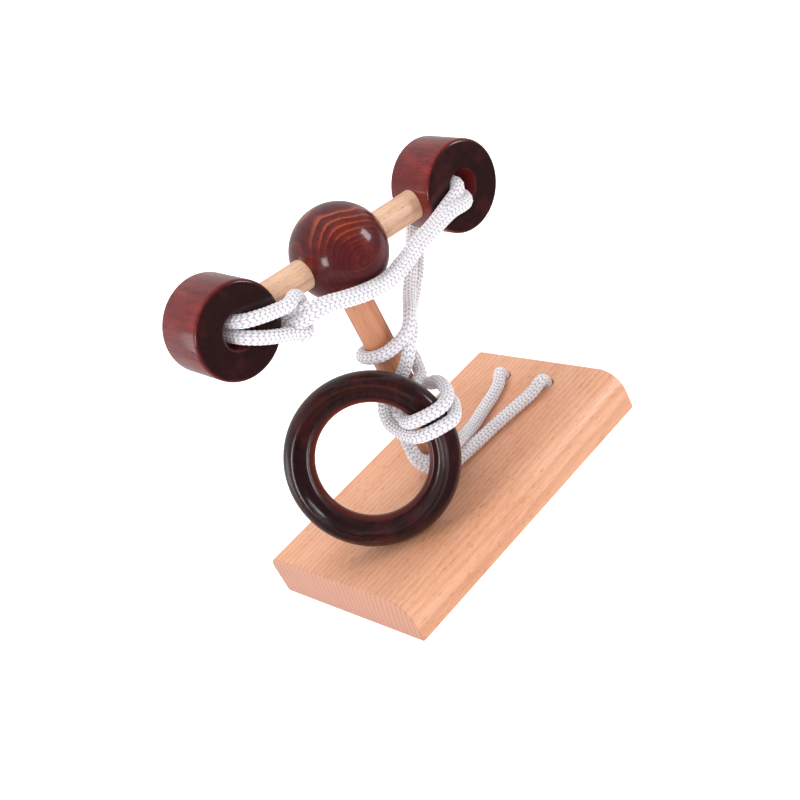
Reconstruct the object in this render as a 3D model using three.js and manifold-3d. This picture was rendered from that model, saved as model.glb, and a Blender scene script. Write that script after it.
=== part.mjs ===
// A hook and ring puzzle: a beech plank carries an upright dowel with a ball on its top.
// A crossbar runs through the ball to two bored drums, and one braided cord is threaded from
// a hole in the plank, round the post, through the drums and back to the second hole. A turned
// ring, larger than the ball and the drums, is caught by two loops of the cord.
// Millimetres. +X runs along the plank towards the cord holes, +Z is up, and the origin is the
// centre of the plank's underside.

import * as THREE from 'three';
import { mergeVertices } from 'three/addons/utils/BufferGeometryUtils.js';
import Module from 'manifold-3d';

const wasm = await Module();
wasm.setup();

const gap = 0.3;
const plankLength = 116;
const plankWidth = 70.5;
const plankThickness = 16;
const plankRightRound = 8.7;
const plankLeftRound = 4.5;
const plankEase = 0.6;
const holeX = 46.5;
const holeY = 10.5;
const holeRadius = 2.8;
const counterboreRadius = 6;
const counterboreDepth = 9;
const knotRadius = 4.4;
const knotCentreZ = 4.7;

const dowelRadius = 5;
const dowelSides = 32;
const postSocketDepth = 10;
const postTopZ = 87.5;
const postIntoBall = 9;
const ballRadius = 15.75;
const ballSegments = 40;
const headRoll = 0.0418;
const headPitch = 0.1265;
const headYaw = -0.0399;

const drumReach = 47.3;
const drumRadius = 15.3;
const drumLength = 19;
const drumBoreRadius = 5.75;
const drumChamfer = 1;
const drumSegments = 48;
const crossbarLength = 78.8;

const ringRidgeRadius = 24.8;
const ringOuterRadius = 28.66;
const ringInnerRadius = 18.36;
const ringHalfThickness = 5;
const ringLipRadius = 20.1;
const ringLipHalfHeight = 2.3;
const ringSegments = 72;
const ringCentre = new THREE.Vector3(-26.79, -6.43, 42.88);
const ringAxis = new THREE.Vector3(-0.5861, -0.7072, 0.3955);

const cordRadius = 1.7;
const cordSides = 8;
const cordStep = 4.5;
const endTrim = 0.4;

const beech = { color: 0xd9a578, roughness: 0.55, metalness: 0 };
const paleDowel = { color: 0xdcb083, roughness: 0.45, metalness: 0 };
const mahogany = { color: 0x5c1a10, roughness: 0.3, metalness: 0 };
const darkMahogany = { color: 0x2c0d0b, roughness: 0.3, metalness: 0 };
const whiteBraid = { color: 0xefebee, roughness: 0.6, metalness: 0 };

const model = new THREE.Group();

// Adds one named piece to a group.
function addPiece(parent, name, geometry, finish) {
  const mesh = new THREE.Mesh(geometry, new THREE.MeshStandardMaterial(finish));
  mesh.name = name;
  parent.add(mesh);
  return mesh;
}

// Turns a closed three.js geometry into a solid that can be cut.
function toSolid(geometry) {
  const bare = geometry.clone();
  bare.deleteAttribute('normal');
  bare.deleteAttribute('uv');
  const merged = mergeVertices(bare, 1e-4);
  const vertProperties = Float32Array.from(merged.attributes.position.array);
  const triVerts = Uint32Array.from(merged.index.array);
  return new wasm.Manifold(new wasm.Mesh({ numProp: 3, vertProperties, triVerts }));
}

// Cuts every tool out of a geometry and gives the result back as a geometry.
function cut(geometry, ...tools) {
  let solid = toSolid(geometry);
  for (const tool of tools) {
    solid = solid.subtract(toSolid(tool));
  }
  const mesh = solid.getMesh();
  const result = new THREE.BufferGeometry();
  result.setAttribute('position', new THREE.BufferAttribute(mesh.vertProperties, 3));
  result.setIndex(new THREE.BufferAttribute(mesh.triVerts, 1));
  return result;
}

// A cylinder on the Z axis between two heights, moved to x, y.
function uprightCylinder(radius, low, high, x = 0, y = 0, sides = dowelSides) {
  const cylinder = new THREE.CylinderGeometry(radius, radius, high - low, sides);
  cylinder.rotateX(Math.PI / 2);
  cylinder.translate(x, y, (low + high) / 2);
  return cylinder;
}

// A cylinder on the X axis, centred at x, y, z.
function levelCylinder(radius, length, x, y, z) {
  const cylinder = new THREE.CylinderGeometry(radius, radius, length, dowelSides);
  cylinder.rotateZ(Math.PI / 2);
  cylinder.translate(x, y, z);
  return cylinder;
}

// The plank is its end outline, drawn across Y and Z, drawn out along X.
function makePlank() {
  const half = plankWidth / 2 - plankEase;
  const low = plankEase;
  const top = plankThickness - plankEase;
  const outline = new THREE.Shape();
  outline.moveTo(-half, low);
  outline.lineTo(half, low);
  outline.lineTo(half, top - plankLeftRound);
  outline.absarc(half - plankLeftRound, top - plankLeftRound, plankLeftRound, 0, Math.PI / 2);
  outline.lineTo(-half + plankRightRound, top);
  outline.absarc(-half + plankRightRound, top - plankRightRound, plankRightRound, Math.PI / 2, Math.PI);
  const plank = new THREE.ExtrudeGeometry(outline, {
    depth: plankLength - 2 * plankEase,
    curveSegments: 10,
    bevelThickness: plankEase,
    bevelSize: plankEase,
    bevelSegments: 1,
  });
  const along = new THREE.Vector3(1, 0, 0);
  const across = new THREE.Vector3(0, 1, 0);
  const up = new THREE.Vector3(0, 0, 1);
  plank.applyMatrix4(new THREE.Matrix4().makeBasis(across, up, along));
  plank.translate(-plankLength / 2 + plankEase, 0, 0);
  const tools = [uprightCylinder(dowelRadius + gap, plankThickness - postSocketDepth, plankThickness + 5)];
  for (const y of [-holeY, holeY]) {
    tools.push(uprightCylinder(holeRadius, -5, plankThickness + 5, holeX, y, 20));
    tools.push(uprightCylinder(counterboreRadius, -5, counterboreDepth, holeX, y));
  }
  return cut(plank, ...tools);
}

// The head is the ball, crossbar and drums, which sit a little crooked on the post.
const head = new THREE.Group();
head.rotation.set(headRoll, headPitch, headYaw, 'ZYX');
head.updateMatrix();
const ballLift = new THREE.Vector3(0, 0, ballRadius).applyMatrix4(head.matrix);
head.position.set(ballLift.x, ballLift.y, postTopZ + ballLift.z);
head.updateMatrix();
const headInverse = head.matrix.clone().invert();

function makeBall() {
  const sphere = new THREE.SphereGeometry(ballRadius, ballSegments, ballSegments / 2);
  const crossHole = levelCylinder(dowelRadius + gap, 4 * ballRadius, 0, 0, 0);
  const postHole = uprightCylinder(dowelRadius + gap, postTopZ - 20, postTopZ + postIntoBall + gap);
  postHole.applyMatrix4(headInverse);
  return cut(sphere, crossHole, postHole);
}

// A drum's profile goes round its bore, and the crossbar's socket is cut into its side.
function makeDrum(side) {
  const half = drumLength / 2;
  const profile = [
    new THREE.Vector2(drumBoreRadius, -half),
    new THREE.Vector2(drumRadius - drumChamfer, -half),
    new THREE.Vector2(drumRadius, -half + drumChamfer),
    new THREE.Vector2(drumRadius, half - drumChamfer),
    new THREE.Vector2(drumRadius - drumChamfer, half),
    new THREE.Vector2(drumBoreRadius, half),
    new THREE.Vector2(drumBoreRadius, -half),
  ];
  const drum = new THREE.LatheGeometry(profile, drumSegments);
  drum.translate(side * drumReach, 0, 0);
  const socket = levelCylinder(dowelRadius + gap, crossbarLength + 2 * gap, 0, 0, 0);
  return cut(drum, socket);
}

// The ring's section: a round outer bead, a crisp ridge on each face, a dished inner slope,
// and a small round lip at the hole.
function makeRing() {
  const section = [];
  const bead = ringOuterRadius - ringRidgeRadius;
  for (let step = 0; step <= 10; step += 1) {
    const angle = -Math.PI / 2 + (Math.PI * step) / 10;
    section.push(new THREE.Vector2(
      ringRidgeRadius + bead * Math.cos(angle),
      ringHalfThickness * Math.sin(angle),
    ));
  }
  const cove = new THREE.QuadraticBezierCurve(
    new THREE.Vector2(ringRidgeRadius, ringHalfThickness),
    new THREE.Vector2(22, 2.7),
    new THREE.Vector2(ringLipRadius, ringLipHalfHeight),
  ).getPoints(4);
  section.push(...cove.slice(1));
  for (let step = 1; step < 6; step += 1) {
    const angle = Math.PI / 2 + (Math.PI * step) / 6;
    section.push(new THREE.Vector2(
      ringLipRadius + (ringLipRadius - ringInnerRadius) * Math.cos(angle),
      ringLipHalfHeight * Math.sin(angle),
    ));
  }
  for (const point of cove.slice(1).reverse()) {
    section.push(new THREE.Vector2(point.x, -point.y));
  }
  section.push(section[0].clone());
  const ring = new THREE.LatheGeometry(section, ringSegments);
  const turn = new THREE.Quaternion();
  turn.setFromUnitVectors(new THREE.Vector3(0, 1, 0), ringAxis.clone().normalize());
  ring.applyQuaternion(turn);
  ring.translate(ringCentre.x, ringCentre.y, ringCentre.z);
  return ring;
}

// The cord's route, stretch by stretch, from one knot to the other. Stretches in the head's own
// frame are given as along the crossbar, out in front of it, and up.
const firstLead = [
  [46.5, 10.5, 9.6], [46.5, 10.5, 14], [46.4, 10.4, 17.2], [44.4, 8.8, 19.5],
  [40.6, 6.2, 18.7], [34, 3.9, 18.3], [27.2, 2.3, 18.3], [18.5, -0.6, 18.8],
  [10.7, -3.8, 20.8], [4.6, -6.2, 23], [-0.6, -7.6, 23.8], [-4.6, -6.5, 24.1],
  [-7.8, -3.9, 24.9], [-9, -1.9, 26.8], [-8.9, -1.1, 28.8], [-8.4, 0.2, 31.2],
  [-7.6, 0.8, 34.6], [-7.3, 0.2, 38.6], [-7.1, -0.6, 42.4], [-7.1, -0.6, 45.8],
  [-6.4, 3, 48.2], [-3.2, 6.6, 48.4], [1.2, 7.4, 47.6], [5.2, 5.4, 46.6],
  [7.4, 1.2, 45.8], [7.8, -3.5, 46.2], [6.3, -7.5, 47.8], [4.5, -11.3, 50.5],
  [3.2, -15.6, 52.2],
];
const upperRingLoop = [
  [1.7, -19.4, 52.8], [-0.5, -23.1, 52.5], [-3.9, -25.8, 52], [-7.9, -26.6, 52.2],
  [-11.8, -24.8, 52.2], [-14.5, -21.9, 51.7], [-15.3, -18.2, 50.7], [-13.2, -13.2, 49.4],
  [-8.8, -10.6, 48.7], [-5.4, -10, 49.4],
];
const postWrap = [
  [-2.4, -9.4, 50.8], [0.7, -7.8, 52.4], [5.3, -5.2, 52.2], [6.8, -3.4, 54.4],
  [7.5, -3, 57.4], [7.4, -1.4, 60.6], [7, 1.6, 62.6], [4.6, 5.4, 64],
  [0.6, 7.1, 65.2], [-3.6, 6.1, 66.3], [-6.1, 3.5, 67.3], [-7, -0.5, 67.8],
  [-6.2, -4.1, 68], [-3.1, -7.3, 68.3], [0.9, -9.4, 69.4], [4.8, -10.9, 71.3],
  [9.8, -8.8, 74],
];
const firstRise = [
  [18.9, 0.9, -27.2], [26.1, -4.4, -23], [32.4, -8.6, -19.3], [38, -12.6, -15],
  [42, -14.4, -10.2], [43.9, -14.3, -4], [45, -11.8, 0.6], [45.3, -7, 2],
  [45.3, 0, 2.2],
];
const outwardRun = [
  [45.3, 6, 2.3], [44.9, 9.6, 2], [42.6, 11.7, 1], [36.6, 11.9, -1.3],
  [30, 11.8, -3.9], [19.1, 13.4, -5.8], [10.3, 14.9, -7.7], [2.8, 16, -8.9],
  [-4.7, 16, -8.4], [-12.1, 15.4, -7], [-18.4, 13.9, -5.6], [-24.8, 12.3, -4.5],
  [-28.2, 9, -4.2], [-29.9, 5.5, -5.8], [-29.9, 0, -7.3], [-29.9, -6, -6.4],
  [-31.5, -11.7, -4.5], [-36, -12.9, -1.6], [-41.5, -12.6, 0.9], [-45.4, -10.8, 2.2],
  [-46.8, -6, 2.4],
];
const leftBight = [
  [-46.8, 6, 2.5], [-45.6, 10.4, 2.6], [-42.5, 12.2, 2.2], [-36.5, 12.6, 1],
  [-30.5, 12.5, 0.2], [-26.6, 9.9, 0.3], [-23.7, 7.6, -2.6], [-24, 7.4, -6.4],
  [-25, 8.4, -10], [-28.8, 12.2, -11.2], [-33, 12.2, -8.6], [-38, 12.4, -6.5],
  [-43.5, 12.2, -3.9], [-46.6, 10.2, -2.4],
];
const returnRun = [
  [-47.6, 6, -2.2], [-47.6, -6, -2.2], [-46, -10.7, -3], [-41.5, -12.9, -4.8],
  [-36, -13.2, -7.2], [-31.8, -12.2, -9.6], [-29.9, -6.8, -11], [-29.9, 0, -11.3],
  [-30, 5, -10.3], [-30.5, 8.8, -7.7], [-29.3, 13, -6.4], [-26, 16, -5.3],
  [-20.2, 17.8, -4.9], [-14, 19.3, -6.3], [-6.6, 20, -7.7], [0.8, 20.1, -8.2],
  [8.3, 19.1, -7.1], [17, 17.5, -5.2], [27.9, 16, -3.4], [34.9, 15.8, -2.1],
  [41, 14.7, -2.8], [44.4, 12.4, -3.2], [46, 9.4, -2.6],
];
const secondRise = [
  [46.3, 5, -2.2], [46.4, -5, -2.3], [47.2, -10.7, -3], [48.2, -14.9, -6],
  [46.9, -16.4, -11.7], [41, -14.6, -17.6], [35.6, -10.4, -21.9], [29.5, -5.9, -25.8],
  [21.8, -2.1, -30.5],
];
const drop = [
  [13.1, -3.6, 70.2], [9.6, -6.8, 69.4], [7, -8.5, 68.1], [3.5, -9.7, 66.4],
  [1, -9.8, 63.4], [-1.1, -8.3, 60.2], [-3.7, -7.1, 58], [-6.7, -5.4, 56.8],
  [-9.2, -3.8, 55], [-11.3, -3.3, 52.6], [-13.5, -4.3, 49.9],
];
const lowerRingLoop = [
  [-15.1, -7, 47.8], [-15.9, -11, 46.5], [-16.5, -16, 46], [-16.4, -21, 46.3],
  [-13.9, -25.2, 46.9], [-10.6, -27.4, 47.1], [-6.2, -27.7, 46.4], [-2.2, -24.8, 46.4],
  [0.9, -21.2, 46.2],
];
const secondLead = [
  [3.2, -17, 45.2], [4.9, -12, 43], [6.4, -7, 39.7], [7.5, -0.8, 36],
  [6, 4.7, 32.2], [1, 7.6, 29], [-4, 6.4, 26.4], [-7, 2.9, 24.2],
  [-7.5, -1.2, 21.8], [-6.4, -4.6, 20], [-3, -7.1, 19], [1.6, -7.6, 18.5],
  [7, -7.9, 18.3], [13.6, -8.5, 18.3], [22.6, -9.4, 18.3], [31, -10.5, 18.3],
  [38.1, -11.6, 18.4], [44, -12, 19.5], [46.4, -10.6, 17.2], [46.5, -10.5, 14],
  [46.5, -10.5, 9.6],
];

function headPoint([along, out, up]) {
  return new THREE.Vector3(along, -out, up).applyMatrix4(head.matrix);
}

function roomPoint([x, y, z]) {
  return new THREE.Vector3(x, y, z);
}

const stretches = [
  ['cord_first_lead', firstLead, roomPoint],
  ['cord_upper_ring_loop', upperRingLoop, roomPoint],
  ['cord_post_wrap', postWrap, roomPoint],
  ['cord_first_rise', firstRise, headPoint],
  ['cord_outward_run', outwardRun, headPoint],
  ['cord_left_bight', leftBight, headPoint],
  ['cord_return_run', returnRun, headPoint],
  ['cord_second_rise', secondRise, headPoint],
  ['cord_drop', drop, roomPoint],
  ['cord_lower_ring_loop', lowerRingLoop, roomPoint],
  ['cord_second_lead', secondLead, roomPoint],
];

// One smooth curve goes through every point, and each stretch is its share of the curve, ended
// short of the next one by the gap.
function makeCord() {
  const points = [];
  const starts = [];
  for (const [, stretch, place] of stretches) {
    starts.push(points.length);
    points.push(...stretch.map(place));
  }
  starts.push(points.length - 1);
  const whole = new THREE.CatmullRomCurve3(points, false, 'centripetal');
  const samples = whole.getPoints((points.length - 1) * 12);
  for (let index = 0; index < stretches.length; index += 1) {
    const share = samples.slice(starts[index] * 12, starts[index + 1] * 12 + 1);
    const fine = new THREE.CatmullRomCurve3(share, false, 'centripetal');
    const length = fine.getLength();
    const trim = index === 0 ? 0 : endTrim / length;
    const count = Math.max(4, Math.round(length / cordStep));
    const kept = [];
    for (let step = 0; step <= count; step += 1) {
      kept.push(fine.getPointAt(trim + ((1 - trim - endTrim / length) * step) / count));
    }
    const path = new THREE.CatmullRomCurve3(kept, false, 'centripetal');
    const section = new THREE.Shape();
    section.absarc(0, 0, cordRadius, 0, 2 * Math.PI);
    const tube = new THREE.ExtrudeGeometry(section, {
      steps: count,
      curveSegments: cordSides / 2,
      extrudePath: path,
    });
    addPiece(model, stretches[index][0], tube, whiteBraid);
  }
}

addPiece(model, 'base_plank', makePlank(), beech);
addPiece(
  model,
  'post',
  uprightCylinder(dowelRadius, plankThickness - postSocketDepth + gap, postTopZ + postIntoBall),
  paleDowel,
);
addPiece(head, 'ball', makeBall(), mahogany);
addPiece(head, 'crossbar', levelCylinder(dowelRadius, crossbarLength, 0, 0, 0), paleDowel);
addPiece(head, 'left_drum', makeDrum(-1), darkMahogany);
addPiece(head, 'right_drum', makeDrum(1), darkMahogany);
model.add(head);
addPiece(model, 'ring', makeRing(), darkMahogany);
makeCord();
for (const [name, y] of [['first_knot', holeY], ['second_knot', -holeY]]) {
  const knot = new THREE.SphereGeometry(knotRadius, 16, 10);
  knot.translate(holeX, y, knotCentreZ);
  addPiece(model, name, knot, whiteBraid);
}

export default model;
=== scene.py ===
import bmesh
import bpy
import numpy as np
from mathutils import Matrix, Vector


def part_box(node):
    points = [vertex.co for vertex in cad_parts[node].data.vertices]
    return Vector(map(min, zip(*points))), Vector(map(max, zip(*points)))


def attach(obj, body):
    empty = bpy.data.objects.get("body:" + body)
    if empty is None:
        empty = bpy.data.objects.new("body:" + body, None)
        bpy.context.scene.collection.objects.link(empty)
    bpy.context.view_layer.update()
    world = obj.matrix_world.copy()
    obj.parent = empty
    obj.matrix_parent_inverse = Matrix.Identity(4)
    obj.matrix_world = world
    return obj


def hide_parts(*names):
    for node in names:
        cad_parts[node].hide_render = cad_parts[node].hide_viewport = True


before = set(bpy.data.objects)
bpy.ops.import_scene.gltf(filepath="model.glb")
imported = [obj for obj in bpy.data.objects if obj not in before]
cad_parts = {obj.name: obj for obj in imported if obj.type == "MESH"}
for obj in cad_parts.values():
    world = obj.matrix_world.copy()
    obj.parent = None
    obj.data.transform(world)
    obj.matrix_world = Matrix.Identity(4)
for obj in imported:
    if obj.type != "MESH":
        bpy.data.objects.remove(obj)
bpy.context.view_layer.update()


# Camera: a long lens looks down on the puzzle from in front of the ring, and leans over,
# so that the plank runs away to the upper right.
camera_place = Vector((-0.21156, -0.34144, 0.27322))
camera_right = Vector((0.63403, -0.65689, -0.40804))
camera_forward = Vector((0.45338, 0.74322, -0.49200))
camera_up = camera_right.cross(camera_forward)
camera_turn = Matrix((camera_right, camera_up, -camera_forward)).transposed()

camera = bpy.data.objects.new("camera", bpy.data.cameras.new("camera"))
camera.data.lens = 62.7
camera.data.sensor_width = 36
camera.data.clip_end = 20
camera.matrix_world = Matrix.Translation(camera_place) @ camera_turn.to_4x4()
bpy.context.collection.objects.link(camera)
bpy.context.scene.camera = camera


# Cord: one length of soft white braid, plaited in columns of V-shaped stitches. It comes up
# through the plank, loops the ring, wraps the post, passes through both drums and returns.
mm = 0.001
head_centre = np.array((0.00196, -0.00074, 0.10311))
head_along = np.array((0.9912, -0.0395, -0.1262))
head_out = -np.array((0.0451, 0.9981, 0.0415))
head_up = np.array((0.1243, -0.0468, 0.9911))
cord_radius = 0.0022
around_cord = 36         # points round the cord, six to a column of stitches
braid_columns = 6
stitch_length = 0.00155
stitch_lean = 0.55       # how far, in stitches, a column's edge runs ahead of its middle

first_lead = [
    (46.5, 10.5, 9.6), (46.5, 10.5, 14), (46.4, 10.4, 17.2), (44.4, 8.8, 19.5), (40.6, 6.2, 18.7),
    (34, 3.9, 18.3), (27.2, 2.3, 18.3), (18.5, -0.6, 18.8), (10.7, -3.8, 20.8), (4.6, -6.2, 23),
    (-0.6, -7.6, 23.8), (-4.6, -6.5, 24.1), (-7.8, -3.9, 24.9), (-9, -1.9, 26.8), (-8.9, -1.1, 28.8),
    (-8.4, 0.2, 31.2), (-7.6, 0.8, 34.6), (-7.3, 0.2, 38.6), (-7.1, -0.6, 42.4), (-7.1, -0.6, 45.8),
    (-6.4, 3, 48.2), (-3.2, 6.6, 48.4), (1.2, 7.4, 47.6), (5.2, 5.4, 46.6), (7.4, 1.2, 45.8),
    (7.8, -3.5, 46.2), (6.3, -7.5, 47.8), (4.5, -11.3, 50.5), (3.2, -15.6, 52.2),
]
upper_ring_loop = [
    (1.7, -19.4, 52.8), (-0.5, -23.1, 52.5), (-3.9, -25.8, 52), (-7.9, -26.6, 52.2),
    (-11.8, -24.8, 52.2), (-14.5, -21.9, 51.7), (-15.3, -18.2, 50.7), (-13.2, -13.2, 49.4),
    (-8.8, -10.6, 48.7), (-5.4, -10, 49.4),
]
post_wrap = [
    (-2.4, -9.4, 50.8), (0.7, -7.8, 52.4), (5.3, -5.2, 52.2), (6.8, -3.4, 54.4), (7.5, -3, 57.4),
    (7.4, -1.4, 60.6), (7, 1.6, 62.6), (4.6, 5.4, 64), (0.6, 7.1, 65.2), (-3.6, 6.1, 66.3),
    (-6.1, 3.5, 67.3), (-7, -0.5, 67.8), (-6.2, -4.1, 68), (-3.1, -7.3, 68.3), (0.9, -9.4, 69.4),
    (4.8, -10.9, 71.3), (9.8, -8.8, 74),
]
first_rise = [
    (18.9, 0.9, -27.2), (26.1, -4.4, -23), (32.4, -8.6, -19.3), (38, -12.6, -15), (42, -14.4, -10.2),
    (43.9, -14.3, -4), (45, -11.8, 0.6), (45.3, -7, 2), (45.3, 0, 2.2),
]
outward_run = [
    (45.3, 6, 2.3), (44.9, 9.6, 2), (42.6, 11.7, 1), (36.6, 11.9, -1.3), (30, 11.8, -3.9),
    (19.1, 13.4, -5.8), (10.3, 14.9, -7.7), (2.8, 16, -8.9), (-4.7, 16, -8.4), (-12.1, 15.4, -7),
    (-18.4, 13.9, -5.6), (-24.8, 12.3, -4.5), (-28.2, 9, -4.2), (-29.9, 5.5, -5.8), (-29.9, 0, -7.3),
    (-29.9, -6, -6.4), (-31.5, -11.7, -4.5), (-36, -12.9, -1.6), (-41.5, -12.6, 0.9),
    (-45.4, -10.8, 2.2), (-46.8, -6, 2.4),
]
left_bight = [
    (-46.8, 6, 2.5), (-45.6, 10.4, 2.6), (-42.5, 12.2, 2.2), (-36.5, 12.6, 1), (-30.5, 12.5, 0.2),
    (-26.6, 9.9, 0.3), (-23.7, 7.6, -2.6), (-24, 7.4, -6.4), (-25, 8.4, -10), (-28.8, 12.2, -11.2),
    (-33, 12.2, -8.6), (-38, 12.4, -6.5), (-43.5, 12.2, -3.9), (-46.6, 10.2, -2.4),
]
return_run = [
    (-47.6, 6, -2.2), (-47.6, -6, -2.2), (-46, -10.7, -3), (-41.5, -12.9, -4.8), (-36, -13.2, -7.2),
    (-31.8, -12.2, -9.6), (-29.9, -6.8, -11), (-29.9, 0, -11.3), (-30, 5, -10.3), (-30.5, 8.8, -7.7),
    (-29.3, 13, -6.4), (-26, 16, -5.3), (-20.2, 17.8, -4.9), (-14, 19.3, -6.3), (-6.6, 20, -7.7),
    (0.8, 20.1, -8.2), (8.3, 19.1, -7.1), (17, 17.5, -5.2), (27.9, 16, -3.4), (34.9, 15.8, -2.1),
    (41, 14.7, -2.8), (44.4, 12.4, -3.2), (46, 9.4, -2.6),
]
second_rise = [
    (46.3, 5, -2.2), (46.4, -5, -2.3), (47.2, -10.7, -3), (48.2, -14.9, -6), (46.9, -16.4, -11.7),
    (41, -14.6, -17.6), (35.6, -10.4, -21.9), (29.5, -5.9, -25.8), (21.8, -2.1, -30.5),
]
drop = [
    (13.1, -3.6, 70.2), (9.6, -6.8, 69.4), (7, -8.5, 68.1), (3.5, -9.7, 66.4), (1, -9.8, 63.4),
    (-1.1, -8.3, 60.2), (-3.7, -7.1, 58), (-6.7, -5.4, 56.8), (-9.2, -3.8, 55), (-11.3, -3.3, 52.6),
    (-13.5, -4.3, 49.9),
]
lower_ring_loop = [
    (-15.1, -7, 47.8), (-15.9, -11, 46.5), (-16.5, -16, 46), (-16.4, -21, 46.3), (-13.9, -25.2, 46.9),
    (-10.6, -27.4, 47.1), (-6.2, -27.7, 46.4), (-2.2, -24.8, 46.4), (0.9, -21.2, 46.2),
]
second_lead = [
    (3.2, -17, 45.2), (4.9, -12, 43), (6.4, -7, 39.7), (7.5, -0.8, 36), (6, 4.7, 32.2), (1, 7.6, 29),
    (-4, 6.4, 26.4), (-7, 2.9, 24.2), (-7.5, -1.2, 21.8), (-6.4, -4.6, 20), (-3, -7.1, 19),
    (1.6, -7.6, 18.5), (7, -7.9, 18.3), (13.6, -8.5, 18.3), (22.6, -9.4, 18.3), (31, -10.5, 18.3),
    (38.1, -11.6, 18.4), (44, -12, 19.5), (46.4, -10.6, 17.2), (46.5, -10.5, 14), (46.5, -10.5, 9.6),
]


def on_head(points):
    """The head's frame to the world: centre + along * a + out * b + up * c."""
    a, b, c = (np.array(points) * mm).T[:, :, None]
    return (head_centre + head_along * a + head_out * b + head_up * c) / mm


def smooth_route(points, spacing=0.1, blur=10, per_span=40):
    """A centripetal Catmull-Rom curve through the points, resampled evenly and blurred a little.
    Each span is the usual cubic blend of its four nearest points, whose knots lie apart by the
    square root of the distance between them."""
    points = np.array(points, float)
    points = np.vstack([2 * points[0] - points[1], points, 2 * points[-1] - points[-2]])
    knots = np.cumsum(np.r_[0, np.linalg.norm(np.diff(points, axis=0), axis=1) ** 0.5])
    spans = []
    for k in range(1, len(points) - 2):
        p0, p1, p2, p3 = points[k - 1:k + 3]
        t0, t1, t2, t3 = knots[k - 1:k + 3]
        t = np.linspace(t1, t2, per_span, endpoint=False)[:, None]
        a1 = (t1 - t) / (t1 - t0) * p0 + (t - t0) / (t1 - t0) * p1
        a2 = (t2 - t) / (t2 - t1) * p1 + (t - t1) / (t2 - t1) * p2
        a3 = (t3 - t) / (t3 - t2) * p2 + (t - t2) / (t3 - t2) * p3
        b1 = (t2 - t) / (t2 - t0) * a1 + (t - t0) / (t2 - t0) * a2
        b2 = (t3 - t) / (t3 - t1) * a2 + (t - t1) / (t3 - t1) * a3
        spans.append((t2 - t) / (t2 - t1) * b1 + (t - t1) / (t2 - t1) * b2)
    line = np.vstack(spans + [points[-2:-1]])
    line = even(line, round(travel(line)[-1] / spacing))
    reach = 3 * blur
    weights = np.exp(-0.5 * (np.arange(-reach, reach + 1) / blur) ** 2)
    weights /= weights.sum()
    before = 2 * line[0] - line[reach:0:-1]
    after = 2 * line[-1] - line[-2:-reach - 2:-1]
    padded = np.vstack([before, line, after])
    return np.stack([np.convolve(padded[:, k], weights, "valid") for k in range(3)], 1)


def travel(line):
    """The distance along a line at each of its points."""
    return np.r_[0, np.cumsum(np.linalg.norm(np.diff(line, axis=0), axis=1))]


def even(line, count):
    """The same line with its points evenly spaced."""
    along = travel(line)
    places = np.linspace(0, along[-1], count)
    return np.stack([np.interp(places, along, line[:, k]) for k in range(3)], 1)


def carried_frames(line, closed=False):
    """Two directions across the line at each point, carried along with the least turning: each
    is the one before, less its part along the line. On a closed line the turn left over at the
    end is spread evenly over its length."""
    tangent = np.gradient(line, axis=0)
    if closed:
        tangent = np.roll(line, -1, 0) - np.roll(line, 1, 0)
    tangent /= np.linalg.norm(tangent, axis=1)[:, None]
    across = np.cross(tangent[0], (0.3, 0.9, 0.2))
    carried = []
    for direction in np.vstack([tangent, tangent[:1]]):
        across = across - direction * across.dot(direction)
        across = across / np.linalg.norm(across)
        carried.append(across)
    first = np.array(carried[:-1])
    second = np.cross(tangent, first)
    if closed:
        left_over = np.arctan2(carried[-1].dot(second[0]), carried[-1].dot(first[0]))
        spread = (-left_over * np.arange(len(line)) / len(line))[:, None]
        first, second = (
            first * np.cos(spread) + second * np.sin(spread),
            second * np.cos(spread) - first * np.sin(spread),
        )
    return first, second


def braid_height(turn, stitch):
    """How high the braid stands, 0 to 1: each column is a row of V stitches, so a stitch's phase
    runs ahead towards the column's edges; it is a rounded hump, pinched at the edge and middle."""
    column = turn * braid_columns % 1
    lean = np.abs(column - 0.5) * 2
    hump = np.sin(np.pi * ((stitch + stitch_lean * lean) % 1)) ** 0.6
    strand = 1 - np.abs(np.abs(lean - 0.5) * 2) ** 3
    return hump * (0.25 + 0.75 * strand)


def braided_tube(line, radius, relief=0.11, closed=False):
    """A tube whose radius follows the braid's height; the relief is a share of the radius."""
    first, second = carried_frames(line, closed)
    along = travel(line)
    turn = np.arange(around_cord) / around_cord
    height = braid_height(turn[None, :], along[:, None] / stitch_length)
    reach = radius * (1 - relief + relief * 1.3 * height)
    angle = 2 * np.pi * turn[None, :, None]
    spoke = first[:, None] * np.cos(angle) + second[:, None] * np.sin(angle)
    return line[:, None] + spoke * reach[..., None]


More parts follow.
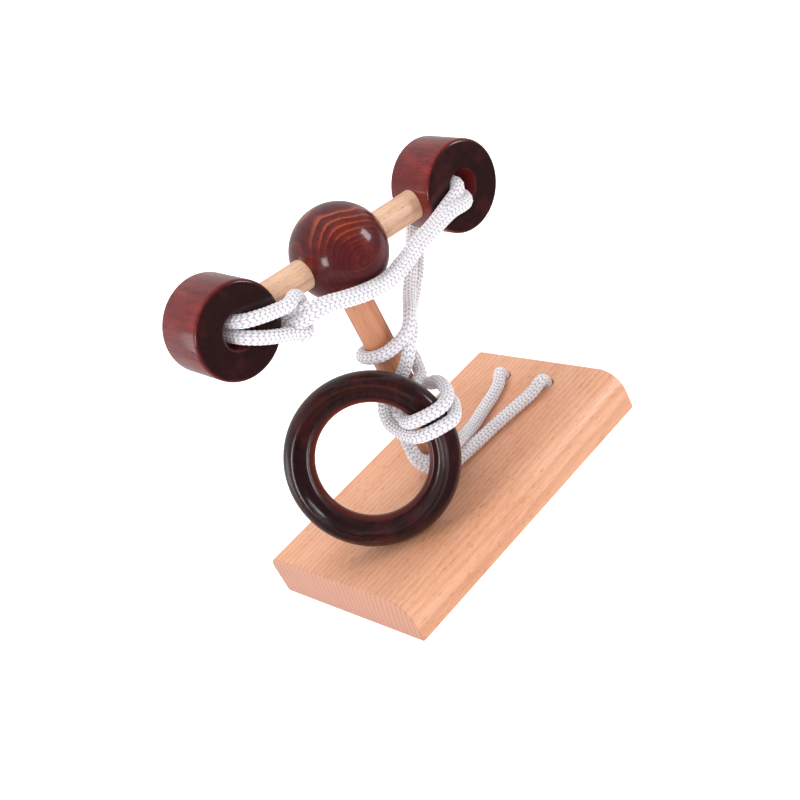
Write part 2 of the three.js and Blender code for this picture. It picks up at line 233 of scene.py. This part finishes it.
def grid_piece(name, grids, close_rows=False, uv=(1, 1)):
    """A mesh of one or more grids of points: point (i, j) is joined to its neighbours in both
    directions, the last column to the first, and the last row to the first where the grid
    closes on itself. One step of a column or row is uv on the surface map."""
    points, faces, sheets, start = [], [], [], 0
    for grid in grids:
        rows, columns = grid.shape[:2]
        steps = np.arange(rows if close_rows else rows - 1)
        i, j = np.meshgrid(steps, np.arange(columns), indexing="ij")
        i, j = i.ravel(), j.ravel()
        i2, j2 = (i + 1) % rows, (j + 1) % columns
        corners = (i * columns + j, i * columns + j2, i2 * columns + j2, i2 * columns + j)
        faces.append(np.stack(corners, 1) + start)
        u = np.stack([j, j + 1, j + 1, j], 1) * uv[0]
        v = np.stack([i, i, i + 1, i + 1], 1) * uv[1]
        sheets.append(np.stack([u, v], 2).reshape(-1, 2))
        points.append(grid.reshape(-1, 3))
        start += rows * columns
    faces = np.concatenate(faces)
    points = np.concatenate(points)
    mesh = bpy.data.meshes.new(name)
    mesh.vertices.add(len(points))
    mesh.vertices.foreach_set("co", points.ravel().astype(np.float32))
    mesh.loops.add(faces.size)
    mesh.loops.foreach_set("vertex_index", faces.ravel().astype(np.int32))
    mesh.polygons.add(len(faces))
    mesh.polygons.foreach_set("loop_start", np.arange(0, faces.size, 4, dtype=np.int32))
    mesh.update(calc_edges=True)
    layer = mesh.uv_layers.new(name="surface")
    layer.data.foreach_set("uv", np.concatenate(sheets).ravel().astype(np.float32))
    piece = bpy.data.objects.new(name, mesh)
    bpy.context.collection.objects.link(piece)
    return piece


def seal(piece, sharp=0.6):
    """Merges points that meet at a pole, closes open rims, turns every face outwards, and shades
    the piece smooth except across edges sharper than an angle in radians."""
    work = bmesh.new()
    work.from_mesh(piece.data)
    bmesh.ops.remove_doubles(work, verts=work.verts, dist=1e-6)
    rims = [edge for edge in work.edges if edge.is_boundary]
    if rims:
        bmesh.ops.holes_fill(work, edges=rims, sides=0)
    bmesh.ops.recalc_face_normals(work, faces=work.faces)
    for edge in work.edges:
        edge.smooth = edge.calc_face_angle(0) < sharp
    for face in work.faces:
        face.smooth = True
    work.to_mesh(piece.data)
    work.free()
    return piece


class Value:
    """One shader socket. Arithmetic with numbers or other Values adds Math nodes."""

    def __init__(self, finish, socket):
        self.finish = finish
        self.socket = socket

    def maths(self, operation, *terms):
        return self.finish.node("ShaderNodeMath", {"operation": operation}, dict(enumerate(terms)))

    def __add__(self, other):
        return self.maths("ADD", self, other)

    def __sub__(self, other):
        return self.maths("SUBTRACT", self, other)

    def __rsub__(self, other):
        return self.maths("SUBTRACT", other, self)

    def __mul__(self, other):
        return self.maths("MULTIPLY", self, other)

    def __mod__(self, other):
        return self.maths("FLOORED_MODULO", self, other)

    def __pow__(self, other):
        return self.maths("POWER", self, other)

    def __abs__(self):
        return self.maths("ABSOLUTE", self)

    __radd__ = __add__
    __rmul__ = __mul__


class Finish:
    """One material, or the room's light: its tree, its shader, and its patterns."""

    def __init__(self, block, shader="Principled BSDF"):
        self.block = block
        self.block.use_nodes = True
        self.tree = self.block.node_tree
        self.shader = self.tree.nodes[shader]

    def node(self, kind, settings=None, sockets=None, output=0):
        """Adds a node, changes its settings, fills its sockets, and gives one of its outputs."""
        made = self.tree.nodes.new(kind)
        for key, value in (settings or {}).items():
            setattr(made, key, value)
        for key, value in (sockets or {}).items():
            self.fill(made.inputs[key], value)
        return Value(self, made.outputs[output])

    def fill(self, socket, value):
        if isinstance(value, Value):
            self.tree.links.new(value.socket, socket)
        else:
            socket.default_value = value

    def set(self, **sockets):
        """Fills the shader's own sockets; a _ in a name stands for a space."""
        for key, value in sockets.items():
            self.fill(self.shader.inputs[key.replace("_", " ")], value)

    def ramp(self, value, low, high):
        """0 below low, 1 above high, and a smooth rise between them."""
        settings = {"interpolation_type": "SMOOTHSTEP"}
        return self.node("ShaderNodeMapRange", settings, {0: value, 1: low, 2: high})

    def mix(self, share, first, second):
        """A colour part of the way from first to second."""
        return self.node("ShaderNodeMix", {"data_type": "RGBA"}, {0: share, 6: first, 7: second}, 2)

    def noise(self, place, scale, detail=2.0, roughness=0.5):
        sockets = {"Vector": place, "Scale": scale, "Detail": detail, "Roughness": roughness}
        return self.node("ShaderNodeTexNoise", None, sockets)

    def scaled(self, place, amounts):
        return self.node("ShaderNodeMapping", None, {"Vector": place, "Scale": amounts})

    def less(self, place, centre):
        """A place measured from a centre."""
        return self.node("ShaderNodeVectorMath", {"operation": "SUBTRACT"}, {0: place, 1: centre})

    def grain_depth(self, straight):
        """The distance along the grain from the middle, whichever end it is towards."""
        return abs(self.node("ShaderNodeSeparateXYZ", None, {0: straight}, 2))

    def bump(self, height, distance, strength=1.0):
        sockets = {"Height": height, "Distance": distance, "Strength": strength}
        return self.node("ShaderNodeBump", None, sockets)

    def wear(self, *pieces):
        """Makes this the one material of each piece."""
        for piece in pieces:
            piece.data.materials.clear()
            piece.data.materials.append(self.block)


def paint(red, green, blue):
    """A colour as a paint chart gives it, from 0 to 255, turned to linear light."""
    chart = np.array((red, green, blue)) / 255
    linear = np.where(chart < 0.04045, chart / 12.92, ((chart + 0.055) / 1.055) ** 2.4)
    return (*linear.tolist(), 1.0)


def white_braid():
    """Bright synthetic yarn: the low parts of the braid at the edges of every stitch of the V columns
    are painted in lavender-grey shade, its plies are fine slanting lines, and faint noise keeps the
    stitches from looking alike."""
    finish = Finish(bpy.data.materials.new("white braid"))
    surface = finish.node("ShaderNodeTexCoord", output="UV")
    columns = finish.node("ShaderNodeSeparateXYZ", None, {0: surface}, 0)
    stitches = finish.node("ShaderNodeSeparateXYZ", None, {0: surface}, 1)
    lean = abs(columns % 1 - 0.5) * 2
    phase = (stitches + lean * stitch_lean) % 1
    hump = 1 - abs(phase * 2 - 1) ** 3
    strand = 1 - abs(abs(lean - 0.5) * 2) ** 3
    height = hump * (strand * 0.75 + 0.25)
    plies = abs((stitches + lean * 5) % 0.5 * 4 - 1)
    place = finish.node("ShaderNodeTexCoord", output="Object")
    soiling = finish.noise(place, 90, 3)
    fuzz = finish.noise(place, 2600, 2)
    # Painted shade: where the braid stands low, its colour is mixed towards lavender-grey.
    depth = finish.ramp(height + (fuzz - 0.5) * 0.2, 0.0, 0.75)
    lit = finish.mix(finish.ramp(soiling, 0.35, 0.7), paint(255, 252, 255), paint(248, 244, 249))
    colour = finish.mix(depth, paint(172, 164, 178), lit)
    finish.set(
        Base_Color=colour,
        Roughness=finish.ramp(fuzz, 0.2, 0.8) * 0.16 + 0.5,
        Normal=finish.bump(height + plies * 0.16 + fuzz * 0.14, 0.0003, 0.9),
    )
    finish.set(Sheen_Weight=0.15)
    return finish


route = smooth_route(
    np.vstack([
        first_lead, upper_ring_loop, post_wrap,
        on_head(first_rise), on_head(outward_run), on_head(left_bight),
        on_head(return_run), on_head(second_rise),
        drop, lower_ring_loop, second_lead,
    ])
) * mm
cord_length = travel(route)[-1]
cord_rows = 2620
cord_line = even(route, cord_rows)
cord_uv = (braid_columns / around_cord, cord_length / (cord_rows - 1) / stitch_length)
never_sharp = 3.2
cord = grid_piece("cord", [braided_tube(cord_line, cord_radius)], uv=cord_uv)
seal(cord, never_sharp)
braid = white_braid()
braid.wear(cord)
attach(cord, "stand")
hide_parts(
    "cord_first_lead", "cord_upper_ring_loop", "cord_post_wrap", "cord_first_rise",
    "cord_outward_run", "cord_left_bight", "cord_return_run", "cord_second_rise", "cord_drop",
    "cord_lower_ring_loop", "cord_second_lead",
)


# Knots: each end of the cord is tied in a tight overhand knot that sits in a counterbore
# under the plank and is too big to pull up through its hole. A short sealed tail is left.
knot_size = 0.00082       # one unit of the trefoil's formula
knot_radius = 0.00172     # the cord is pulled thinner in the knot
tail_radius = 0.0017
tail_length = 0.0037


def knot(name, node):
    """An overhand knot is a trefoil: x = sin t + 2 sin 2t, y = cos t - 2 cos 2t, z = -1.25 sin 3t.
    Its tail is a straight stub that closes in a small dome."""
    low, high = (np.array(corner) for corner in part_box(node))
    centre = (low + high) / 2
    t = np.linspace(0, 2 * np.pi, 330, endpoint=False)
    trefoil = np.stack([
        np.sin(t) + 2 * np.sin(2 * t), np.cos(t) - 2 * np.cos(2 * t), -1.25 * np.sin(3 * t),
    ], 1)
    turns = braided_tube(centre + trefoil * knot_size, knot_radius, closed=True)
    rows = 40
    stub = np.linspace(0, -tail_length, rows)[:, None] * (0, 0, 1) + centre
    tail = braided_tube(stub, tail_radius)
    dome = 1 - np.clip((np.arange(rows) - rows + 7) / 6, 0, 1)[:, None, None] ** 3
    tail = stub[:, None] + (tail - stub[:, None]) * dome
    uv = (braid_columns / around_cord, 0.2)
    tied = grid_piece(name, [np.concatenate([turns, turns[:1]]), tail], uv=uv)
    seal(tied, never_sharp)
    braid.wear(tied)
    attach(tied, "stand")
    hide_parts(node)
    return tied


first_tied = knot("first_end_knot", "first_knot")
second_tied = knot("second_end_knot", "second_knot")


# Plank: the foot of the puzzle, a piece of planed beech with its grain lengthways. One long top
# edge is rounded over well, the other a little, and it is oiled rather than stained.
def wood_grain(finish, along, pith, spacing, wobble):
    """Growth rings: the distance from the pith line, which runs along the grain, is bent by slow
    noise and divided by the rings' spacing. Gives the phase within a ring from 0 to 1, a place
    stretched along the fibres, and the plain place."""
    place = finish.node("ShaderNodeTexCoord", output="Object")
    centred = finish.less(place, pith)
    turn = Vector(along).to_track_quat("Z", "Y").inverted().to_euler()
    sockets = {"Vector": centred, "Rotation": turn}
    straight = finish.node("ShaderNodeMapping", None, sockets)
    slow = finish.noise(finish.scaled(straight, (1, 1, 0.22)), 42, 2)
    flat = finish.scaled(straight, (1, 1, 0.035))
    reach = finish.node("ShaderNodeVectorMath", {"operation": "LENGTH"}, {0: flat}, 1)
    phase = (reach * (1 / spacing) + slow * wobble) % 1
    fibre = finish.scaled(straight, (1, 1, 0.045))
    return phase, fibre, straight


def beech(name, pale, warm, dark, along, pith, spacing=0.0034, sawn_end=0.2):
    """Pale beech: soft growth rings, fine fibres, and the short dark flecks of its rays. Past
    sawn_end along the grain is end grain, which is duller and pinker and shows the rings."""
    finish = Finish(bpy.data.materials.new(name))
    phase, fibre, straight = wood_grain(finish, along, pith, spacing, 1.6)
    late = finish.ramp(phase, 0.3, 0.95) * (1 - finish.ramp(phase, 0.93, 1.0))
    threads = finish.noise(fibre, 2600, 3, 0.65)
    patches = finish.noise(finish.scaled(straight, (1, 1, 0.35)), 60, 3)
    flecks = finish.noise(finish.scaled(straight, (1, 1, 0.14)), 2300, 1)
    specks = finish.noise(finish.scaled(straight, (1, 1, 0.2)), 5200, 1)
    fleck = finish.ramp(flecks + (patches - 0.5) * 0.22, 0.625, 0.71)
    speck = finish.ramp(specks, 0.57, 0.7)
    tone = finish.mix(finish.ramp(patches, 0.3, 0.7), pale, warm)
    tone = finish.mix(late * 0.34, tone, dark)
    tone = finish.mix(finish.ramp(threads, 0.4, 0.75) * 0.4, tone, dark)
    tone = finish.mix(speck * 0.26, tone, paint(172, 108, 70))
    tone = finish.mix(fleck * 0.42, tone, paint(158, 92, 56))
    sawn = finish.ramp(finish.grain_depth(straight), sawn_end - 0.0003, sawn_end)
    cut_tone = finish.mix(late * 0.5, paint(196, 140, 118), paint(160, 100, 80))
    tone = finish.mix(sawn * 0.85, tone, cut_tone)
    finish.set(
        Base_Color=tone,
        Roughness=finish.ramp(threads, 0.3, 0.7) * 0.12 + 0.40 + fleck * 0.1,
        Normal=finish.bump(threads * 0.5 - fleck * 0.8 - late * 0.2, 0.00006, 0.7),
    )
    finish.set(Coat_Weight=0.3, Coat_Roughness=0.24)
    return finish


def plank_outline(inset, count=20):
    """The plank's section, its sides drawn in by inset, as one closed line: straight sides and
    quarter circles, so a corner's point is its centre + radius * (cos, sin)."""
    low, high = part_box("base_plank")
    under, far_round, near_round = 0.0008, 0.0045, 0.0087
    corners = (
        (low[1], low[2], under, np.pi), (high[1], low[2], under, 1.5 * np.pi),
        (high[1], high[2], far_round, 0), (low[1], high[2], near_round, 0.5 * np.pi),
    )
    line = []
    for y, z, radius, start in corners:
        radius = max(radius, inset * 1.01)
        inner_y = y - np.copysign(radius, y)
        inner_z = z + (radius if z == low[2] else -radius)
        angle = start + np.linspace(0, np.pi / 2, count)
        line.append(np.stack([
            inner_y + (radius - inset) * np.cos(angle), inner_z + (radius - inset) * np.sin(angle),
        ], 1))
    return np.concatenate(line)


def plank_body():
    """The section carried along the plank, drawn in on a quarter circle at both sawn ends."""
    low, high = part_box("base_plank")
    ease = 0.0006
    angle = np.linspace(0, np.pi / 2, 5)
    inset = ease * (1 - np.sin(angle))
    step = ease * (1 - np.cos(angle))
    x = np.concatenate([low[0] + step, high[0] - step[::-1]])
    insets = np.concatenate([inset, inset[::-1]])
    rows = []
    for place, amount in zip(x, insets):
        line = plank_outline(amount)
        rows.append(np.column_stack([np.full(len(line), place), line]))
    return grid_piece("plank", [np.array(rows)])


def turned(profile, centre, axis, around=128):
    """A lathe shape: the profile's (distance along, radius) pairs carried round an axis."""
    axis = np.array(axis) / np.linalg.norm(axis)
    first = np.cross(axis, (0.1, 0.2, 1.0) if abs(axis[2]) < 0.9 else (1.0, 0.1, 0.0))
    first /= np.linalg.norm(first)
    second = np.cross(axis, first)
    angle = np.linspace(0, 2 * np.pi, around, endpoint=False)[None, :, None]
    along, radius = np.array(profile).T[:, :, None, None]
    spoke = first * np.cos(angle) + second * np.sin(angle)
    return np.array(centre) + axis * along + spoke * radius


def bore(piece, *cutters):
    """Cuts turned holes out of a piece and keeps the result as its mesh."""
    for index, cutter in enumerate(cutters):
        tool = seal(grid_piece(f"{piece.name}_cutter_{index}", [cutter]))
        cut = piece.modifiers.new("bore", "BOOLEAN")
        cut.operation = "DIFFERENCE"
        cut.solver = "EXACT"
        cut.object = tool
    graph = bpy.context.evaluated_depsgraph_get()
    mesh = bpy.data.meshes.new_from_object(piece.evaluated_get(graph))
    for cut in list(piece.modifiers):
        tool = cut.object
        piece.modifiers.remove(cut)
        bpy.data.objects.remove(tool)
    piece.data = mesh


plank = seal(plank_body())
up = (0, 0, 1)
socket_radius, socket_floor = 0.00515, 0.006
hole_radius, counterbore, counterbore_roof = 0.0028, 0.006, 0.009
past_top = 0.0164
socket_profile = [
    (socket_floor, 0), (socket_floor, socket_radius), (0.0157, socket_radius),
    (past_top, 0.0059), (past_top, 0),
]
hole_profile = [
    (-0.001, 0), (-0.001, 0.0065), (0.0004, 0.0061), (counterbore_roof, counterbore),
    (counterbore_roof, hole_radius), (0.0155, hole_radius), (past_top, 0.0036), (past_top, 0),
]
hole_x, hole_y = 0.0465, 0.0105
bore(
    plank, turned(socket_profile, (0, 0, 0), up, 64),
    turned(hole_profile, (hole_x, hole_y, 0), up, 64),
    turned(hole_profile, (hole_x, -hole_y, 0), up, 64),
)
seal(plank, 0.5)
plank_wood = beech(
    "plank beech", paint(230, 174, 141), paint(222, 160, 124), paint(190, 126, 90),
    along=(1, 0, 0), pith=(0, -0.12, -0.02), spacing=0.0021, sawn_end=0.0578,
)
plank_wood.wear(plank)
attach(plank, "stand")
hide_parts("base_plank")


# Post and crossbar: two lengths of plain 10 mm dowel. The post is glued into the plank and the
# ball, and the crossbar runs through the ball into the two drums.
def dowel(name, node, foot, tip, finish):
    """A rod with its ends drawn in on small quarter circles."""
    foot, tip = np.array(foot), np.array(tip)
    length = np.linalg.norm(tip - foot)
    full, ease = 0.005, 0.0005
    angle = np.linspace(0, np.pi / 2, 5)
    step = ease * (1 - np.cos(angle))
    radius = full - ease * (1 - np.sin(angle))
    profile = np.column_stack([
        np.concatenate([[0], step, [length / 3, length * 2 / 3], length - step[::-1], [length]]),
        np.concatenate([[0], radius, [full, full], radius[::-1], [0]]),
    ])
    rod = seal(grid_piece(name, [turned(profile, foot, tip - foot, 96)]))
    finish.wear(rod)
    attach(rod, "stand")
    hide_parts(node)


bar_reach = 0.0394
bar_left = head_centre - head_along * bar_reach
bar_right = head_centre + head_along * bar_reach
dowel(
    "post_dowel", "post", (0, 0, 0.0063), (0, 0, 0.0965),
    beech("post beech", paint(206, 142, 105), paint(195, 128, 93), paint(160, 96, 66),
          along=(0, 0, 1), pith=(0.02, 0.016, 0), spacing=0.0026),
)
dowel(
    "crossbar_dowel", "crossbar", bar_left, bar_right,
    beech("crossbar beech", paint(232, 192, 162), paint(224, 180, 148), paint(190, 138, 104),
          along=head_along, pith=(0.0, 0.02, 0.085), spacing=0.0026),
)


# Ball: a turned hardwood ball stained a deep red mahogany and varnished. It is drilled from below
# for the post and from side to side for the crossbar.
def stained(name, light, mid, dark, along, pith, spacing=0.0022, contrast=0.5, gloss=0.14,
            lit_direction=None, end_face=None, wobble=3.0):
    """Mahogany stain over open grain: it lies dark in the late wood and the pores and lets the
    lighter wood show between, under a thin varnish. On the side facing the lit direction the growth
    rings are painted light orange, a painted highlight where the light falls, and past end_face along
    the grain both end faces are darkened nearly black."""
    finish = Finish(bpy.data.materials.new(name))
    phase, fibre, straight = wood_grain(finish, along, pith, spacing, wobble)
    late = finish.ramp(phase, 0.1, 0.9) * (1 - finish.ramp(phase, 0.88, 1.0))
    threads = finish.noise(fibre, 1700, 3, 0.6)
    patches = finish.noise(finish.scaled(straight, (1, 1, 0.5)), 120, 4, 0.6)
    pores = finish.ramp(finish.noise(finish.scaled(straight, (1, 1, 0.12)), 4200, 1), 0.58, 0.72)
    tone = finish.mix(finish.ramp(patches, 0.42, 0.7), mid, light)
    # Painted highlight: growth rings on the side facing the lit direction are mixed towards light
    # orange.
    if lit_direction is not None:
        centred = finish.less(finish.node("ShaderNodeTexCoord", output="Object"), pith)
        dot = {"operation": "DOT_PRODUCT"}
        reach = finish.node("ShaderNodeVectorMath", dot, {0: centred, 1: lit_direction}, 1)
        lit_side = finish.ramp(reach + (patches - 0.5) * 0.012, 0.003, 0.014)
        lit_arcs = lit_side * finish.ramp(phase, 0.42, 0.12)
        tone = finish.mix(lit_arcs * 0.44, tone, paint(206, 98, 48))
    tone = finish.mix(late * contrast, tone, dark)
    tone = finish.mix(finish.ramp(threads, 0.45, 0.75) * 0.4, tone, dark)
    tone = finish.mix(pores * 0.6, tone, paint(30, 9, 11))
    # Both end faces are darkened nearly black past end_face, mottled at random.
    if end_face is not None:
        depth = finish.grain_depth(straight) + (patches - 0.5) * 0.0006
        dark_end_faces = finish.ramp(depth, end_face - 0.0006, end_face)
        tone = finish.mix(dark_end_faces * (1.12 - patches * 0.4), tone, paint(20, 7, 9))
    finish.set(
        Base_Color=tone,
        Roughness=finish.ramp(threads, 0.3, 0.75) * 0.10 + 0.36,
        Coat_Weight=0.75 - pores * 0.3,
        Normal=finish.bump(threads * 0.4 - pores * 0.8 + patches * 1.4, 0.00006, 0.6),
    )
    finish.set(Coat_Roughness=gloss, Coat_IOR=1.45, IOR=1.4, Specular_IOR_Level=0.22)
    return finish


ball_radius = 0.01575
ball_turn = np.linspace(0, np.pi, 97)
ball_profile = np.column_stack([-ball_radius * np.cos(ball_turn), ball_radius * np.sin(ball_turn)])
ball = seal(grid_piece("turned_ball", [turned(ball_profile, head_centre, head_up, 192)]))
post_fit, bar_fit = 0.0051, 0.00512
post_drill = [(-0.0175, 0), (-0.0175, post_fit), (-0.006, post_fit), (-0.006, 0)]
bar_drill = [(-0.02, 0), (-0.02, bar_fit), (0.02, bar_fit), (0.02, 0)]
bore(
    ball, turned(post_drill, head_centre, head_up, 64),
    turned(bar_drill, head_centre, head_along, 64),
)
seal(ball, 0.5)
ball_stain = stained(
    "ball mahogany", paint(116, 38, 30), paint(86, 23, 26), paint(48, 12, 17),
    along=(-0.19, -0.98, -0.05), pith=head_centre, spacing=0.0016, contrast=0.3, wobble=6.0,
    # Nearly straight up, towards the overhead light, the rings get their painted highlight.
    lit_direction=Vector((0.25, 0.02, 0.97)).normalized(),
)
ball_stain.wear(ball)
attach(ball, "stand")
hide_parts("ball")


# Drums: two short turned cylinders stained like the ball, pushed on the crossbar's ends and
# drilled through, so that the cord can pass in at the front and out at the back.
drum_reach = 0.0473       # from the middle of the head to the middle of a drum


def drum(name, node, side, pith_side):
    """A cylinder drilled through: outer wall, rounded rims, and the bore's own wall. Side is -1
    for the left drum and 1 for the right, and pith_side says where the tree's middle lay."""
    outer, inner, half, rim_ease, lip_ease = 0.0153, 0.00575, 0.0095, 0.0013, 0.0006
    angle = np.linspace(0, np.pi / 2, 9)
    rim_along = half - rim_ease * (1 - np.sin(angle))
    rim_radius = outer - rim_ease * (1 - np.cos(angle))
    lip_along = half - lip_ease * (1 - np.cos(angle))
    lip_radius = inner + lip_ease * (1 - np.sin(angle))
    front = np.column_stack([
        np.concatenate([rim_along, lip_along]), np.concatenate([rim_radius, lip_radius]),
    ])
    back = front[::-1] * (-1, 1)
    profile = np.concatenate([back, front])
    centre = head_centre + head_along * drum_reach * side
    grid = turned(profile, centre, head_out, 160)
    piece = seal(grid_piece(name, [grid], close_rows=True), 0.7)
    finish = stained(
        f"{name} mahogany", paint(142, 42, 36), paint(108, 29, 30), paint(56, 15, 19),
        along=head_out, pith=centre + head_up * 0.03 + head_along * 0.021 * pith_side,
        spacing=0.0031, contrast=0.22, end_face=0.00952,
    )
    finish.wear(piece)
    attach(piece, "stand")
    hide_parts(node)


drum("left_turned_drum", "left_drum", -1, 1)
drum("right_turned_drum", "right_drum", 1, -0.7)


# Ring: a turned wooden ring stained almost black and varnished to a high gloss. Its face has a
# rounded outer bead, a raised ridge, a hollow inside that, and a fine lip round the hole.
def half_section():
    """The ring's section from the outside of the bead to the hole: half an ellipse, a hollow on
    a quadratic curve, and the lip's half ellipse; as (distance along, radius) pairs."""
    ridge, valley, lip_edge = (5, 24.8), (1.3, 22.3), (2.3, 20.1)
    bead_width, lip_width = 3.86, 1.74
    bead = np.linspace(0, np.pi / 2, 26)
    outside = np.column_stack([ridge[0] * np.sin(bead), ridge[1] + bead_width * np.cos(bead)])
    t = np.linspace(0, 1, 18)[1:, None]
    hollow = (1 - t) ** 2 * ridge + 2 * t * (1 - t) * valley + t ** 2 * lip_edge
    lip = np.linspace(0, np.pi / 2, 14)[1:]
    inside = np.column_stack([lip_edge[0] * np.cos(lip), lip_edge[1] - lip_width * np.sin(lip)])
    return np.concatenate([outside, hollow, inside]) * mm


front_half = half_section()
ring_profile = np.concatenate([front_half, front_half[-2:0:-1] * (-1, 1)])
ring_low, ring_high = (np.array(corner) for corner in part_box("ring"))
ring_centre = (ring_low + ring_high) / 2
ring_axis = (-0.5861, -0.7072, 0.3955)
ring_grid = turned(ring_profile, ring_centre, ring_axis, 300)
ring = seal(grid_piece("turned_ring", [ring_grid], close_rows=True), 0.9)
ring_stain = stained(
    "ring mahogany", paint(66, 20, 20), paint(40, 13, 16), paint(22, 8, 11),
    along=(0.1, -0.35, 0.93), pith=ring_centre + np.array((0.0, 0.04, 0.0)), contrast=0.4,
    gloss=0.16,
)
ring_place = ring_stain.less(ring_stain.node("ShaderNodeTexCoord", output="Object"), ring_centre)
cross = {"operation": "CROSS_PRODUCT"}
across_axis = ring_stain.node("ShaderNodeVectorMath", cross, {0: ring_place, 1: ring_axis})
from_axis = ring_stain.node("ShaderNodeVectorMath", {"operation": "LENGTH"}, {0: across_axis}, 1)
rubbed = 1 - ring_stain.ramp(from_axis, 0.0188, 0.0206)
stain_colour = Value(ring_stain, ring_stain.shader.inputs["Base Color"].links[0].from_socket)
ring_stain.set(Base_Color=ring_stain.mix(rubbed * 0.5, stain_colour, paint(116, 38, 26)))
ring_stain.wear(ring)
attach(ring, "ring")
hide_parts("ring")


# Floor and lights: a pale seamless floor that glows a little, low softboxes to the left, right
# and back, a broad one overhead, a fill in front, and a room that lights the puzzle more from
# behind than from in front and looks white itself.
floor_mesh = bpy.data.meshes.new("floor")
floor_mesh.from_pydata([(-4, -4, 0), (4, -4, 0), (4, 4, 0), (-4, 4, 0)], [], [(0, 1, 2, 3)])
floor = bpy.data.objects.new("floor", floor_mesh)
floor.location.z = -0.0001
bpy.context.collection.objects.link(floor)
paper = Finish(bpy.data.materials.new("white paper"))
grit = paper.noise(paper.node("ShaderNodeTexCoord", output="Object"), 900, 2)
paper.set(Base_Color=paper.mix(grit, paint(250, 250, 250), paint(255, 255, 255)), Roughness=0.9)
paper.set(Specular_IOR_Level=0.1)
paper.set(Emission_Color=paint(255, 255, 255), Emission_Strength=0.6)
paper.wear(floor)
floor.visible_glossy = False


def softbox(name, direction, distance, size, power, glossy=True):
    """A rectangular lamp that looks back at the middle of the puzzle."""
    lamp = bpy.data.objects.new(name, bpy.data.lights.new(name, "AREA"))
    away = Vector(direction).normalized()
    lamp.data.shape = "RECTANGLE"
    lamp.data.size, lamp.data.size_y = size
    lamp.data.energy = power
    lamp.visible_glossy = glossy
    lamp.rotation_mode = "QUATERNION"
    lamp.rotation_quaternion = away.to_track_quat("Z", "Y")
    lamp.location = Vector((0, 0, 0.05)) + away * distance
    bpy.context.collection.objects.link(lamp)


softbox("left softbox", (-0.92, -0.30, 0.28), 0.65, (0.14, 0.20), 1.0)
softbox("right softbox", (0.72, -0.66, 0.24), 0.65, (0.16, 0.24), 1.3)
softbox("overhead softbox", (0.15, 0.25, 1.0), 0.9, (0.8, 0.8), 5.9, glossy=False)
softbox("fill softbox", (-0.45, -0.74, 0.62), 0.8, (0.6, 0.6), 2.6, glossy=False)
softbox("back softbox", (-0.82, 0.55, 0.10), 0.7, (0.5, 0.3), 1.0)
room = Finish(bpy.data.worlds.new("room"), "Background")
dot = {"operation": "DOT_PRODUCT"}
room_view = room.node("ShaderNodeTexCoord", output="Generated")
room_back = room.node("ShaderNodeVectorMath", dot, {0: room_view, 1: (0.05, 0.92, 0.38)}, 1)
room_fade = room.node("ShaderNodeMapRange", None, {0: room_back, 1: -0.25, 2: 0.5, 3: 0.10, 4: 0.62})
room_seen = room.node("ShaderNodeLightPath", output="Is Camera Ray")
room.set(Color=(1.0, 1.0, 1.0, 1.0), Strength=room_seen.maths("MAXIMUM", room_seen, room_fade))
bpy.context.scene.world = room.block
bpy.context.scene.view_settings.view_transform = "Standard"
